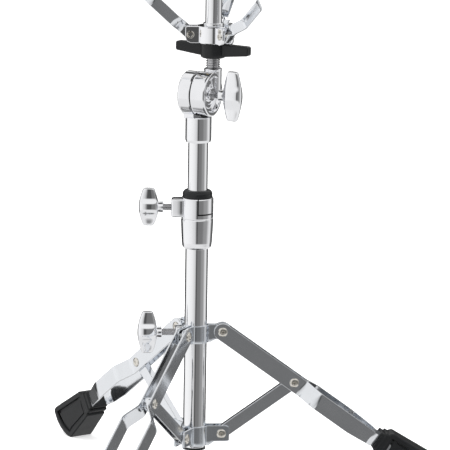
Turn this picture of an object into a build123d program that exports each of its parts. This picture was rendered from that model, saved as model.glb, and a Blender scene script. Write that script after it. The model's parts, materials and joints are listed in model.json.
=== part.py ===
from build123d import *
import math
import os

os.makedirs("parts", exist_ok=True)

# Snare drum stand, millimetres. Z is up, the floor is z = 0, and the column's axis is x = y = 0.
# A direction on the floor is an angle from +X, positive towards +Y.

# column
BASE_TUBE_R = 12.7
UPPER_TUBE_R = 11.1
TUBE_WALL = 1.5
BASE_TUBE_BOTTOM = 43.0
BASE_TUBE_TOP = 304.0
UPPER_TUBE_BOTTOM = 120.0
UPPER_TUBE_TOP = 418.0
RUNNING = 0.08

# tripod
LEG_ANGLES = {"right": 4.4, "left": 124.4, "front": 244.4}
PIVOT_R = 30.0
LINK_LENGTH = 100.2
LOWER_PIVOT_Z = 58.2
UPPER_PIVOT_Z = 175.2
LEG_LEAN = math.degrees(math.acos((UPPER_PIVOT_Z - LOWER_PIVOT_Z) / (2 * LINK_LENGTH)))
LEG_PITCH = 90.0 - LEG_LEAN
STRIP_THICK = 2.5
STRIP_HALF_HEIGHT = 9.75
STRIP_NEAR = 5.25
STRIP_FAR = 17.75
STRIP_NECK = 9.0
STRIP_END = 236.0
STRUT_HALF_WIDTH = 3.8
STRUT_HALF_HEIGHT = 7.2
RIVET_R = 2.9
RIVET_HEAD_R = 5.4
RIVET_HEAD = 1.6

# collars: bottom and top of each ring
LOWER_RING = (45.0, 67.5)
UPPER_RING = (163.3, 183.4)
BRACKET_THICK = 2.0
EAR_REACH = 39.0
UPPER_EAR_GAP = 1.7
LOWER_EAR_GAP = 4.1

# height clamp
CLAMP_BOTTOM = 270.5
CLAMP_STEP = 304.0
CLAMP_TOP = 328.0
BUSHING_TOP = 336.0
CLAMP_BOLT_Z = 316.0
CLAMP_BOLT_ANGLE = 180.0
COLLAR_BOLT_Z = 174.3
COLLAR_BOLT_ANGLE = 184.4
BOLT_R = 4.0
WING_START = 43.5

# tilter: the drum lies along t, turned from +X about the column
DRUM_TURN = -25.0
DRUM_Z = 444.0
DRUM_R = 24.5
DRUM_LEFT = 15.6
DRUM_RIGHT = 17.6
SLEEVE_BOTTOM = 390.0
SLEEVE_R = 14.45
ROD_T = 9.0
ROD_S = 16.2

# basket
ROD_R = 8.0
POST_R = 9.25
HUB_BOTTOM = 499.5
HUB_TOP = 518.3
ARM_Z = 509.0
ARM_PIVOT_R = 25.5
ARM_ANGLES = {"left": 182.0, "front": -58.0, "rear": 62.0}
ARM_SLOPE = 43.0
ARM_PLATE = 2.4
ARM_FLANGE = 1.8
ARM_HALF_HEIGHT = 6.45
ARM_END = 205.0
HUB_EAR_GAP = 4.3
HUB_EAR_THICK = 3.4
NUT_BOTTOM = 482.6
NUT_TURN = -28.0


def save(shape, name):
    export_step(shape, f"parts/{name}.step")


def rod(radius, length):
    """A cylinder standing on z = 0."""
    return Cylinder(radius, length, align=(Align.CENTER, Align.CENTER, Align.MIN))


def disc(radius, bottom, top):
    return Pos(0, 0, bottom) * rod(radius, top - bottom)


def ring(outer, inner, bottom, top):
    return disc(outer, bottom, top) - disc(inner, bottom - 1, top + 1)


def plate(points, low, high):
    """An outline in x and z made solid between two values of y."""
    face = make_face(Plane.XZ * Polyline(*points, close=True))
    return Pos(0, high, 0) * extrude(face, high - low, dir=(0, -1, 0))


def slab(points, low, high):
    """An outline in x and y made solid between two values of z."""
    face = make_face(Polyline(*points, close=True))
    return Pos(0, 0, low) * extrude(face, high - low, dir=(0, 0, 1))


def band(line, thick):
    """An open line of points widened into a closed outline, with mitred corners."""
    left = []
    right = []
    for i, (x, y) in enumerate(line):
        x0, y0 = line[max(i - 1, 0)]
        x1, y1 = line[min(i + 1, len(line) - 1)]
        into = math.atan2(y - y0, x - x0) if i else math.atan2(y1 - y, x1 - x)
        out = math.atan2(y1 - y, x1 - x) if i + 1 < len(line) else into
        middle = (into + out) / 2
        reach = thick / 2 / math.cos((out - into) / 2)
        left.append((x - reach * math.sin(middle), y + reach * math.cos(middle)))
        right.append((x + reach * math.sin(middle), y - reach * math.cos(middle)))
    return left + right[::-1]


def cross_pin(radius, low, high, x=0.0, z=0.0):
    """A cylinder along y, between two values of y."""
    return Pos(x, low, z) * Rot(-90, 0, 0) * rod(radius, high - low)


def around(angle):
    return Rot(0, 0, angle)


def solids_of(shape):
    return list(shape.solids())


def heading(solid):
    centre = solid.center()
    return math.degrees(math.atan2(centre.Y, centre.X)) % 360


# ---------------------------------------------------------------- column tubes

def base_tube():
    return ring(BASE_TUBE_R, BASE_TUBE_R - TUBE_WALL, BASE_TUBE_BOTTOM, BASE_TUBE_TOP)


def base_tube_plug():
    """Plastic stopper pushed into the bottom of the base tube, with a rim under the tube's end."""
    stopper = disc(BASE_TUBE_R - TUBE_WALL, BASE_TUBE_BOTTOM, BASE_TUBE_BOTTOM + 14)
    rim = disc(BASE_TUBE_R, BASE_TUBE_BOTTOM - 3, BASE_TUBE_BOTTOM)
    return chamfer(stopper.edges().group_by(Axis.Z)[-1], 1) + rim


def upper_tube():
    return ring(UPPER_TUBE_R, UPPER_TUBE_R - TUBE_WALL, UPPER_TUBE_BOTTOM, UPPER_TUBE_TOP)


def upper_tube_glide():
    """Plastic guide in the upper tube's lower end, running in the base tube's bore."""
    tail = disc(UPPER_TUBE_R - TUBE_WALL - RUNNING, UPPER_TUBE_BOTTOM + 0.1, UPPER_TUBE_BOTTOM + 15)
    foot = disc(BASE_TUBE_R - TUBE_WALL - RUNNING, UPPER_TUBE_BOTTOM - 6, UPPER_TUBE_BOTTOM - 0.1)
    neck = disc(6, UPPER_TUBE_BOTTOM - 1, UPPER_TUBE_BOTTOM + 1)
    return foot + neck + tail


# ---------------------------------------------------------------- height clamp

def height_clamp_body():
    """Die-cast clamp on the base tube: a rounded barrel, a ring slit two ways and a square boss for the bolt."""
    outline = [
        (0, CLAMP_BOTTOM), (14.6, CLAMP_BOTTOM), (16.4, CLAMP_BOTTOM + 4), (17.4, CLAMP_BOTTOM + 16),
        (18.0, CLAMP_STEP - 4), (17.9, CLAMP_STEP), (17.9, CLAMP_TOP - 1), (17.0, CLAMP_TOP), (0, CLAMP_TOP),
    ]
    body = revolve(make_face(Plane.XZ * Polyline(*outline, close=True)), Axis.Z)
    boss = Pos(-22.9, 0, CLAMP_BOLT_Z) * fillet(Box(11.8, 19, 20.5).edges().filter_by(Axis.X), 2.5)
    body = body + boss
    body -= disc(BASE_TUBE_R, CLAMP_BOTTOM - 1, CLAMP_STEP)
    body -= disc(14.2, CLAMP_STEP, CLAMP_TOP + 1)
    body -= Pos(0, 0, CLAMP_BOLT_Z) * Rot(0, -90, 0) * rod(BOLT_R + 0.05, 40)
    slit_z = CLAMP_STEP + 6.4
    slit = Pos(15, -12, slit_z) * Box(30, 24, 1.6)
    split = Pos(1.05, -16, (slit_z + CLAMP_TOP + 1) / 2) * Box(1.3, 12, CLAMP_TOP + 1 - slit_z)
    return body - slit - split


def height_clamp_bushing():
    """Nylon bushing round the upper tube, with a chamfered rim above the clamp."""
    outline = [
        (UPPER_TUBE_R + RUNNING, CLAMP_STEP), (14.2, CLAMP_STEP), (14.2, CLAMP_TOP), (16.5, CLAMP_TOP),
        (16.5, BUSHING_TOP - 2.5), (14.4, BUSHING_TOP), (UPPER_TUBE_R + RUNNING, BUSHING_TOP),
    ]
    return revolve(make_face(Plane.XZ * Polyline(*outline, close=True)), Axis.Z)


# ---------------------------------------------------------------- wing bolts

def wing_head(height, start):
    """Cast wing head on a bolt that points along +X: a barrel between two tapering wings."""
    length = 21.0
    half = height / 2
    side = [
        (start, -6), (start + 1.5, -half + 2), (start + 3.5, -half), (start + length - 4.5, -half),
        (start + length - 1.5, -half * 0.55), (start + length, 0), (start + length - 1.5, half * 0.55),
        (start + length - 4.5, half), (start + 3.5, half), (start + 1.5, half - 2), (start, 6),
    ]
    end = [
        (-3.2, -half), (3.2, -half), (6.8, -7), (6.8, 7), (3.2, half), (-3.2, half), (-6.8, 7), (-6.8, -7),
    ]
    across = Rot(0, 0, 90) * plate(end, -start - length - 5, 5)
    neck = Pos(start - 5.5, 0, 0) * Rot(0, 90, 0) * rod(6.5, 7)
    return (plate(side, -8, 8) & across) + neck


def bolt_screw(inner, outer):
    """Threaded shank on the +X axis, with a chamfered tip."""
    shank = Rot(0, 90, 0) * disc(BOLT_R, inner, outer)
    return chamfer(shank.edges().sort_by(Axis.X)[0], 0.8)


def bolt_pair(place, height, inner, start):
    """The wing head and its shank, the shank ending in the head's neck."""
    screw = bolt_screw(inner, start + 6)
    head = wing_head(height, start) - screw
    return place * head, place * screw


# ---------------------------------------------------------------- collars

def collar(levels, ear_gap, pivot_z):
    """Three pressed brackets that clasp the tube; neighbours' flanges make a pair of ears at each leg."""
    low, high = levels
    outer = BASE_TUBE_R + RUNNING + BRACKET_THICK
    body = disc(outer, low, high)
    ear_low = pivot_z - 9.0
    ear = [
        (5, low), (19, low), (25, max(low, ear_low)), (EAR_REACH - 4, max(low, ear_low)),
        (EAR_REACH, max(low, ear_low) + 5), (EAR_REACH, high - 4), (EAR_REACH - 4, high), (5, high),
    ]
    half = ear_gap + BRACKET_THICK
    for angle in LEG_ANGLES.values():
        body += around(angle) * plate(ear, -half, half)
    for angle in LEG_ANGLES.values():
        body -= around(angle) * Pos(25, 0, (low + high) / 2) * Box(50, 2 * ear_gap, high - low + 10)
        body -= around(angle) * cross_pin(RIVET_R, -half - 1, half + 1, PIVOT_R, pivot_z)
    return body - disc(BASE_TUBE_R + RUNNING, low - 1, high + 1)


def rivet(half_grip, x, z, through=True, inner=0.0):
    """Pivot rivet along y with a domed head on each side; without a through shank it is two studs."""
    head = cross_pin(RIVET_HEAD_R, half_grip, half_grip + RIVET_HEAD, x, z)
    head = chamfer(head.edges().sort_by(Axis.Y)[-1], 1.0)
    shank = cross_pin(RIVET_R, 0 if through else inner, half_grip, x, z)
    half = head + shank
    both = half + mirror(half, Plane.XZ)
    return both


# ---------------------------------------------------------------- legs

def leg_place(angle):
    """Leg frame: x runs down the leg from the upper pivot, y is across it, z is square to both."""
    return around(angle) * Pos(PIVOT_R, 0, UPPER_PIVOT_Z) * Rot(0, LEG_PITCH, 0)


def leg_strip(side):
    """One flat strip: straight past the strut's pivot, cranked outwards, then in again to the foot."""
    bend_in = 178.0 if side > 0 else 207.5
    bend_end = 212.0 if side > 0 else 216.0
    middle = [
        (-11, STRIP_NEAR), (112.5, STRIP_NEAR), (130.5, STRIP_FAR), (bend_in, STRIP_FAR),
        (bend_end, STRIP_NECK), (STRIP_END, STRIP_NECK),
    ]
    bent = slab(band(middle, STRIP_THICK), -12, 12)
    rounded = cross_pin(STRIP_HALF_HEIGHT, -30, 30)
    tall = [
        (0, -STRIP_HALF_HEIGHT), (180, -STRIP_HALF_HEIGHT), (210, -6.8), (STRIP_END, -6.8),
        (STRIP_END, STRIP_HALF_HEIGHT - 4), (205, STRIP_HALF_HEIGHT - 0.5), (180, STRIP_HALF_HEIGHT),
        (0, STRIP_HALF_HEIGHT),
    ]
    strip = bent & (plate(tall, -30, 30) + rounded)
    strip -= cross_pin(RIVET_R + 0.05, -30, 30)
    strip -= cross_pin(RIVET_R, -30, 30, LINK_LENGTH)
    return strip if side > 0 else mirror(strip, Plane.XZ)


def leg_rivet():
    """The rivet through both strips that the strut turns on."""
    return Pos(LINK_LENGTH, 0, 0) * rivet(STRIP_NEAR + STRIP_THICK / 2, 0, 0)


def foot_outline(inset):
    """The foot's width along the leg, drawn as a closed outline."""
    half = [(213, 12.2), (222, 12.2), (265, 14.5), (295, 14.5)]
    return [(x, y - inset) for x, y in half] + [(x, inset - y) for x, y in reversed(half)]


def foot(strips):
    """Rubber foot: a neck round the strips, a shouldered body and a rounded sole with a flat land."""
    lean = math.radians(LEG_LEAN)
    side = make_face(
        Polyline((272.5, -20.3), (226, -12.5), (222.5, 15.5), (226, 19), (284, 23.5), (289, 20))
        + ThreePointArc((289, 20), (287.3, -1), (272.5, -20.3))
    )
    body = Pos(0, 20, 0) * extrude(Plane.XZ * side, 40, dir=(0, -1, 0))
    body = body & slab(foot_outline(0), -40, 40)
    panel = [(274, -8), (235, -3), (233, 11), (279, 15), (281, 4)]
    body -= plate(panel, -20, 20) - slab(foot_outline(1.6), -40, 40)
    neck = plate([(213.5, -8), (232, -8), (232, 12.5), (213.5, 12.5)], -11.7, 11.7)
    whole = body + neck
    floor = Pos(UPPER_PIVOT_Z * math.cos(lean), 0, -UPPER_PIVOT_Z * math.sin(lean)) * Rot(0, -LEG_PITCH, 0)
    whole -= floor * Pos(240, 0, -50) * Box(400, 100, 100)
    for strip in strips:
        whole -= strip
    return whole


# ---------------------------------------------------------------- struts

def strut():
    """Folded channel between the leg's strips and the lower collar's ears, open underneath."""
    outer = Pos(LINK_LENGTH / 2, 0, 0) * Box(LINK_LENGTH, 2 * STRUT_HALF_WIDTH, 2 * STRUT_HALF_HEIGHT)
    for x in (0, LINK_LENGTH):
        outer += cross_pin(STRUT_HALF_HEIGHT, -STRUT_HALF_WIDTH, STRUT_HALF_WIDTH, x)
    hollow = Pos(LINK_LENGTH / 2, 0, -3) * Box(LINK_LENGTH - 30, 2 * STRUT_HALF_WIDTH - 3, 2 * STRUT_HALF_HEIGHT)
    outer -= hollow
    return outer - cross_pin(RIVET_R + 0.05, -10, 10, LINK_LENGTH)


def strut_place(angle):
    """Strut frame: x runs out and up from the lower pivot to the leg's pivot."""
    return around(angle) * Pos(PIVOT_R, 0, LOWER_PIVOT_Z) * Rot(0, -LEG_PITCH, 0)


# ---------------------------------------------------------------- tilter

def drum_place():
    """Drum frame: x runs along the drum's axis, from the fixed half to the wing bolt."""
    return Pos(0, 0, DRUM_Z) * around(DRUM_TURN)


def tilter_base():
    """Lower casting: a sleeve on the upper tube and the fixed half of the drum."""
    half = Rot(0, -90, 0) * disc(DRUM_R, 0.5, DRUM_LEFT)
    half = chamfer(half.edges().sort_by(Axis.X)[0], 1.5)
    neck = disc(SLEEVE_R, SLEEVE_BOTTOM - DRUM_Z + 2, -DRUM_R + 8) & Pos(-20.5, 0, -DRUM_R) * Box(40, 60, 40)
    sleeve = disc(SLEEVE_R, SLEEVE_BOTTOM - DRUM_Z, UPPER_TUBE_TOP + 0.6 - DRUM_Z)
    sleeve = chamfer(sleeve.edges().group_by(Axis.Z)[0], 1.8)
    casting = half + neck + sleeve
    casting -= disc(UPPER_TUBE_R, SLEEVE_BOTTOM - DRUM_Z - 1, UPPER_TUBE_TOP - DRUM_Z)
    return casting - Rot(0, -90, 0) * disc(BOLT_R + 0.05, -1, 11.5)


def friction_disc():
    """Toothed friction disc between the two halves of the drum."""
    return Rot(0, 90, 0) * ring(23.4, BOLT_R + 0.3, -0.5, 0.4)


def tilter_top():
    """Upper casting: the turning half of the drum, with the boss that holds the threaded rod."""
    half = Rot(0, 90, 0) * disc(DRUM_R, 0.5, DRUM_RIGHT)
    half -= Rot(0, 90, 0) * disc(18.5, DRUM_RIGHT - 5, DRUM_RIGHT + 1)
    half += Rot(0, 90, 0) * disc(7.5, DRUM_RIGHT - 6, DRUM_RIGHT - 1)
    boss = Pos(ROD_T, ROD_S, 0) * disc(9.7, -2, DRUM_R)
    flange = Pos(ROD_T, ROD_S, 0) * disc(9.7, DRUM_R, DRUM_R + 2.2)
    casting = (half + boss) & Pos(20.5, 20, 0) * Box(40, 100, 100)
    casting = casting + flange - Pos(ROD_T, ROD_S, 0) * disc(ROD_R, 2, 30)
    return casting - Rot(0, 90, 0) * disc(BOLT_R + 0.05, -1, 30)


def rod_place():
    """Basket frame: the threaded rod's axis, at floor level."""
    turn = math.radians(DRUM_TURN)
    x = ROD_T * math.cos(turn) - ROD_S * math.sin(turn)
    y = ROD_T * math.sin(turn) + ROD_S * math.cos(turn)
    return Pos(x, y, 0)


# ---------------------------------------------------------------- basket

POST_BOTTOM = 507.8
POST_TOP = 590.0


def threaded_rod():
    return disc(ROD_R, DRUM_Z + 2, POST_TOP - 6)


def basket_post():
    """Chromed sleeve on the threaded rod, with the inner flange that the arms' heels work against."""
    sleeve = ring(POST_R, ROD_R, POST_BOTTOM, POST_TOP - 6)
    return sleeve + ring(12.6, ROD_R, POST_BOTTOM, POST_BOTTOM + 2.6)


def post_cap():
    cap = disc(POST_R + 0.6, POST_TOP - 6, POST_TOP)
    return fillet(cap.edges().group_by(Axis.Z)[-1], 3)


def basket_hub():
    """Cast hub that slides on the post: a hollow ring with three pairs of ears."""
    body = disc(18, HUB_BOTTOM, HUB_TOP)
    half = HUB_EAR_GAP + HUB_EAR_THICK
    reach = 31.2
    ear = [
        (5, HUB_BOTTOM), (reach - 6, HUB_BOTTOM), (reach - 1.8, HUB_BOTTOM + 1.8), (reach, HUB_BOTTOM + 6),
        (reach, HUB_TOP - 1.5), (reach - 1.5, HUB_TOP), (5, HUB_TOP),
    ]
    for angle in ARM_ANGLES.values():
        body += around(angle) * plate(ear, -half, half)
    body -= disc(13, HUB_BOTTOM - 1, HUB_TOP - 3.2)
    body -= disc(POST_R + RUNNING, HUB_BOTTOM - 1, HUB_TOP + 1)
    for angle in ARM_ANGLES.values():
        body -= around(angle) * Pos(27, 0, (HUB_BOTTOM + HUB_TOP) / 2) * Box(26, 2 * HUB_EAR_GAP, 40)
        body -= around(angle) * cross_pin(2.5, -20, 20, ARM_PIVOT_R, ARM_Z)
    return body


def hub_collar():
    """Chromed ring pressed round the post on top of the hub."""
    return ring(11.4, POST_R + RUNNING, HUB_TOP, HUB_TOP + 3.2)


def arm_screw():
    half = HUB_EAR_GAP + HUB_EAR_THICK
    shank = cross_pin(2.45, -half, half, ARM_PIVOT_R, ARM_Z)
    head = cross_pin(4.2, half, half + 1.6, ARM_PIVOT_R, ARM_Z)
    head -= cross_pin(2.2, half + 0.4, half + 3, ARM_PIVOT_R, ARM_Z)
    tail = cross_pin(3.6, -half - 1.4, -half, ARM_PIVOT_R, ARM_Z)
    return shank + head + tail


def arm_place(angle):
    """Arm frame: x runs up the arm from its pivot."""
    return rod_place() * around(angle) * Pos(ARM_PIVOT_R, 0, ARM_Z) * Rot(0, -ARM_SLOPE, 0)


def arm():
    """Pressed arm on edge: a channel between the hub's ears, cranked out to one side, then straight."""
    low = -ARM_HALF_HEIGHT
    high = ARM_HALF_HEIGHT
    line = [(-9, 2.8), (13, 2.8), (22, 13.3), (58, 16.8), (80, 0), (ARM_END, 0)]
    shape = slab(band(line, ARM_PLATE), low, high)
    root = [(-9, -4), (12, -4), (12, 3.2), (-9, 3.2)]
    shape += slab(root, low, low + ARM_FLANGE)
    shape += slab(root, high - ARM_FLANGE, high)
    shape += slab([(24, 7.0), (56, 10.1), (56, 16.6), (24, 13.5)], low, low + ARM_FLANGE)
    shape += slab([(86, -5.0), (ARM_END, -5.0), (ARM_END, 0), (84, 0)], low, low + ARM_FLANGE)
    side = [(-3, low), (ARM_END, low), (ARM_END, high), (1, high), (-9, 1), (-9, -2)]
    return (shape & plate(side, -30, 30)) - cross_pin(2.55, -20, 20)


def grip():
    """Rubber grip over an arm's end, in the basket's frame, with a notch for the drum's hoop."""
    outline = [
        (150.7, 637.0), (162.9, 623.8), (181, 640.5), (191, 647), (197, 658), (197, 674), (194.5, 677),
        (191.5, 675.5), (187.5, 658), (184, 655.5), (173, 655.5), (166, 652),
    ]
    return plate(outline, -9, 9)


def basket_nut():
    """Black wing nut under the hub."""
    hub = disc(14, NUT_BOTTOM, HUB_BOTTOM - 0.3)
    hub = chamfer(hub.edges().group_by(Axis.Z)[0], 2)
    wing = [
        (0, NUT_BOTTOM + 1.5), (14, NUT_BOTTOM + 2), (45.2, NUT_BOTTOM + 5.3), (45.2, HUB_BOTTOM - 1.2),
        (0, HUB_BOTTOM - 0.3),
    ]
    nut = hub
    for turn in (0, 180):
        nut += Rot(0, 0, turn) * plate(wing, -4.5, 4.5)
    return around(NUT_TURN) * nut - disc(ROD_R + 1.6, NUT_BOTTOM - 1, HUB_BOTTOM + 1)


def nut_insert():
    """Brass thread pressed into the wing nut."""
    return ring(ROD_R + 1.6, ROD_R + RUNNING, NUT_BOTTOM + 0.5, HUB_BOTTOM - 0.5)


# ---------------------------------------------------------------- write the parts

save(base_tube(), "base_tube")
save(base_tube_plug(), "base_tube_plug")
save(upper_tube(), "upper_tube")
save(upper_tube_glide(), "upper_tube_glide")
save(height_clamp_body(), "height_clamp_body")
save(height_clamp_bushing(), "height_clamp_bushing")

clamp_bolt_place = Pos(0, 0, CLAMP_BOLT_Z) * around(CLAMP_BOLT_ANGLE)
head, screw = bolt_pair(clamp_bolt_place, 42, 14.6, WING_START)
save(head, "height_clamp_wing_head")
save(screw, "height_clamp_bolt")

# the collar's bolt runs through a welded nut on the bracket between the left and front legs
collar_bolt_place = Pos(0, 0, COLLAR_BOLT_Z) * around(COLLAR_BOLT_ANGLE)
head, screw = bolt_pair(collar_bolt_place, 47, BASE_TUBE_R + 0.35, WING_START)
save(head, "collar_wing_head")
save(screw, "collar_bolt")
bolt_hole = collar_bolt_place * Rot(0, 90, 0) * rod(BOLT_R + 0.05, 60)
tube_face = BASE_TUBE_R + RUNNING + BRACKET_THICK
nut_block = fillet(Box(9.0, 14, 14).edges().filter_by(Axis.X), 1.5)
nut_block = collar_bolt_place * (Pos(tube_face + 3.5, 0, 0) * nut_block)
nut_block = nut_block - disc(tube_face, 150, 190) - bolt_hole
save(nut_block, "collar_bolt_nut")

ends = sorted(LEG_ANGLES.values())
for name, levels, gap, pivot in (
    ("upper_bracket", UPPER_RING, UPPER_EAR_GAP, UPPER_PIVOT_Z),
    ("lower_bracket", LOWER_RING, LOWER_EAR_GAP, LOWER_PIVOT_Z),
):
    pieces = solids_of(collar(levels, gap, pivot))
    for piece in pieces:
        middle = heading(piece)
        side = "rear" if middle < ends[1] else "left" if middle < ends[2] else "front"
        whole = piece - bolt_hole if name == "upper_bracket" and side == "left" else piece
        save(whole, f"{name}_{side}")

upper_grip = STRIP_NEAR + STRIP_THICK / 2 + 0.15
lower_grip = LOWER_EAR_GAP + BRACKET_THICK
save(Compound([around(a) * rivet(upper_grip, PIVOT_R, UPPER_PIVOT_Z) for a in LEG_ANGLES.values()]),
     "upper_leg_rivets")
studs = []
for a in LEG_ANGLES.values():
    studs += solids_of(around(a) * rivet(lower_grip, PIVOT_R, LOWER_PIVOT_Z, False, LOWER_EAR_GAP))
save(Compound(studs), "lower_strut_rivets")

for name, angle in LEG_ANGLES.items():
    place = leg_place(angle)
    strips = [leg_strip(1), leg_strip(-1)]
    save(place * strips[0], f"{name}_leg_strip_a")
    save(place * strips[1], f"{name}_leg_strip_b")
    save(place * foot(strips), f"{name}_foot")
    save(place * leg_rivet(), f"{name}_leg_rivet")
    save(strut_place(angle) * strut(), f"{name}_strut")

save(drum_place() * tilter_base(), "tilter_base")
save(drum_place() * friction_disc(), "tilter_friction_disc")
save(drum_place() * tilter_top(), "tilter_top")
head, screw = bolt_pair(drum_place(), 55, -11.0, 30.4)
save(head, "tilter_wing_head")
save(screw, "tilter_bolt")

save(rod_place() * threaded_rod(), "threaded_rod")
save(rod_place() * basket_post(), "basket_post")
save(rod_place() * post_cap(), "post_cap")
save(rod_place() * basket_hub(), "basket_hub")
save(rod_place() * hub_collar(), "hub_collar")
save(Compound([rod_place() * around(a) * arm_screw() for a in ARM_ANGLES.values()]), "arm_screws")
save(rod_place() * basket_nut(), "basket_wing_nut")
save(rod_place() * nut_insert(), "basket_nut_insert")

for name, angle in ARM_ANGLES.items():
    solid = arm_place(angle) * arm()
    save(solid, f"{name}_arm")
    save(rod_place() * around(angle) * grip() - solid, f"{name}_grip")
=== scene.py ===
import json
import math

import bmesh
import bpy
from mathutils import Matrix, Vector


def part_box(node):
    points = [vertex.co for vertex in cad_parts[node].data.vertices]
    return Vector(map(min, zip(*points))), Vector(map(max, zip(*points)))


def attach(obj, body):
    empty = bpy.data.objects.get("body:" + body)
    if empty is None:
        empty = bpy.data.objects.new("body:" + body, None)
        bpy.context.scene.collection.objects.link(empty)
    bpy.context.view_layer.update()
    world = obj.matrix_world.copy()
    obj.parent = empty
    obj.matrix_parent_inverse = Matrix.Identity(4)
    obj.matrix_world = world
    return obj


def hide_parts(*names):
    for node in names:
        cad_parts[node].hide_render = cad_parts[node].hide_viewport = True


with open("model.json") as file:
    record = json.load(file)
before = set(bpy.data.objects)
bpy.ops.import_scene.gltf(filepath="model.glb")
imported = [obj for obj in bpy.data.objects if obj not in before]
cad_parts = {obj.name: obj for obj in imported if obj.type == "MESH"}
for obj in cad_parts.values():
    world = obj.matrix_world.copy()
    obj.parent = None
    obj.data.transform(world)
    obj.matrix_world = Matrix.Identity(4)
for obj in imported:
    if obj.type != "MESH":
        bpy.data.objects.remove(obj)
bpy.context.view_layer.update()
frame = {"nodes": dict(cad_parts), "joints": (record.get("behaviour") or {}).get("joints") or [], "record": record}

# ---------------------------------------------------------------- camera
# A long lens in front of the stand, a little above the basket, looking down at the middle of the column.

camera = bpy.data.objects.new("camera", bpy.data.cameras.new("camera"))
bpy.context.scene.collection.objects.link(camera)
bpy.context.scene.camera = camera
camera.data.lens = 287.2
camera.data.sensor_width = 36.0
camera.data.clip_end = 60.0
eye = Vector((0.031, -3.905, 1.0915))
aim = Vector((0.031, 0.0, 0.2965))
sight = (aim - eye).to_track_quat("-Z", "Y").to_matrix().to_4x4()
camera.matrix_world = Matrix.Translation(eye) @ sight @ Matrix.Rotation(math.radians(0.9), 4, "Z")

# ---------------------------------------------------------------- studio
# A white sweep, with a bright wall on the left, a grey card in front on the right and darker flags behind,
# which is what the polished metal shows. The floor is matt and stays out of the metal's reflections.


class Wire:
    """One socket of a node tree. Arithmetic on wires adds Math nodes, and node() adds any other."""

    def __init__(self, tree, socket=None):
        self.tree = tree
        self.socket = socket

    def node(self, kind, inputs=None, out=0, stops=None, **settings):
        made = self.tree.nodes.new(kind)
        for name, value in settings.items():
            setattr(made, name, value)
        if stops:
            ramp = made.color_ramp
            while len(ramp.elements) > 1:
                ramp.elements.remove(ramp.elements[-1])
            ramp.elements[0].position = stops[0][0]
            for place, _ in stops[1:]:
                ramp.elements.new(place)
            for element, (_, colour) in zip(ramp.elements, stops):
                element.color = colour if isinstance(colour, tuple) else (colour, colour, colour, 1)
        for name, value in (inputs or {}).items():
            if isinstance(value, Wire):
                self.tree.links.new(value.socket, made.inputs[name])
            else:
                made.inputs[name].default_value = value
        return Wire(self.tree, made.outputs[out] if made.outputs else None)

    def math(self, operation, *values):
        return self.node("ShaderNodeMath", dict(enumerate(values)), operation=operation)

    def __add__(self, other):
        return self.math("ADD", self, other)

    def __radd__(self, other):
        return self.math("ADD", other, self)

    def __sub__(self, other):
        return self.math("SUBTRACT", self, other)

    def __rsub__(self, other):
        return self.math("SUBTRACT", other, self)

    def __mul__(self, other):
        return self.math("MULTIPLY", self, other)

    def __rmul__(self, other):
        return self.math("MULTIPLY", other, self)


def grey(value):
    """A display grey, 0 to 255, as the light it stands for."""
    part = value / 255
    return part / 12.92 if part <= 0.04045 else ((part + 0.055) / 1.055) ** 2.4


bpy.context.scene.view_settings.view_transform = "Standard"
world = bpy.data.worlds.new("studio")
bpy.context.scene.world = world
world.use_nodes = True
world.node_tree.nodes.clear()
studio = Wire(world.node_tree)
ray = studio.node("ShaderNodeTexCoord", out="Generated")
split = ray.node("ShaderNodeSeparateXYZ", {"Vector": ray}).socket.node
across, along, up = (Wire(world.node_tree, split.outputs[i]) for i in range(3))
turn = across.math("ARCTAN2", across, 0 - along)
degrees = turn * (1 / math.tau) + 0.5
card_stops = [
    (-180, 45), (-128, 60), (-121, 240), (-105, 253), (-70, 250), (-40, 240), (-14, 214), (-6, 168), (-3, 84),
    (5, 80), (7, 118), (40, 124), (52, 148), (76, 156), (86, 200), (100, 230), (115, 230), (122, 118), (144, 90), (180, 45),
]
cards = degrees.node(
    "ShaderNodeValToRGB", {"Fac": degrees},
    stops=[(angle / 360 + 0.5, grey(value)) for angle, value in card_stops],
)
level = up * 0.5 + 0.5
sky_share = level.node(
    "ShaderNodeValToRGB", {"Fac": level},
    stops=[(0.0, 1.0), (0.27, 1.0), (0.34, 0.0), (0.63, 0.0), (0.72, 1.0), (1.0, 1.0)],
)
sky = level.node(
    "ShaderNodeValToRGB", {"Fac": level},
    stops=[(0.0, grey(40)), (0.04, grey(50)), (0.08, 0.8), (0.7, 0.9), (0.95, 0.9), (0.97, grey(90)), (1.0, grey(60))],
)
walls = cards.node("ShaderNodeMix", {"Factor": sky_share, 6: cards, 7: sky}, out=2, data_type="RGBA")
seen = studio.node("ShaderNodeLightPath", out="Is Camera Ray")
shown = walls.node(
    "ShaderNodeMix", {"Factor": seen, 6: walls, 7: (1, 1, 1, 1)}, out=2, data_type="RGBA",
)
light = shown.node("ShaderNodeBackground", {"Color": shown, "Strength": 1.0})
light.node("ShaderNodeOutputWorld", {"Surface": light})

floor_mesh = bmesh.new()
bmesh.ops.create_grid(floor_mesh, x_segments=1, y_segments=1, size=9.0)
floor_data = bpy.data.meshes.new("floor")
floor_mesh.to_mesh(floor_data)
floor_mesh.free()
floor = bpy.data.objects.new("floor", floor_data)
bpy.context.scene.collection.objects.link(floor)
floor.location.z = -0.0005
floor.visible_glossy = False
paper = bpy.data.materials.new("paper_floor")
paper.use_nodes = True
paper.node_tree.nodes.clear()
sheet = Wire(paper.node_tree)
matt = sheet.node("ShaderNodeBsdfPrincipled", {
    "Base Color": (0.9, 0.9, 0.9, 1), "Roughness": 0.9, "Emission Color": (1, 1, 1, 1), "Emission Strength": 0.5,
})
matt.node("ShaderNodeOutputMaterial", {"Surface": matt})
floor_data.materials.append(paper)


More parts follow.
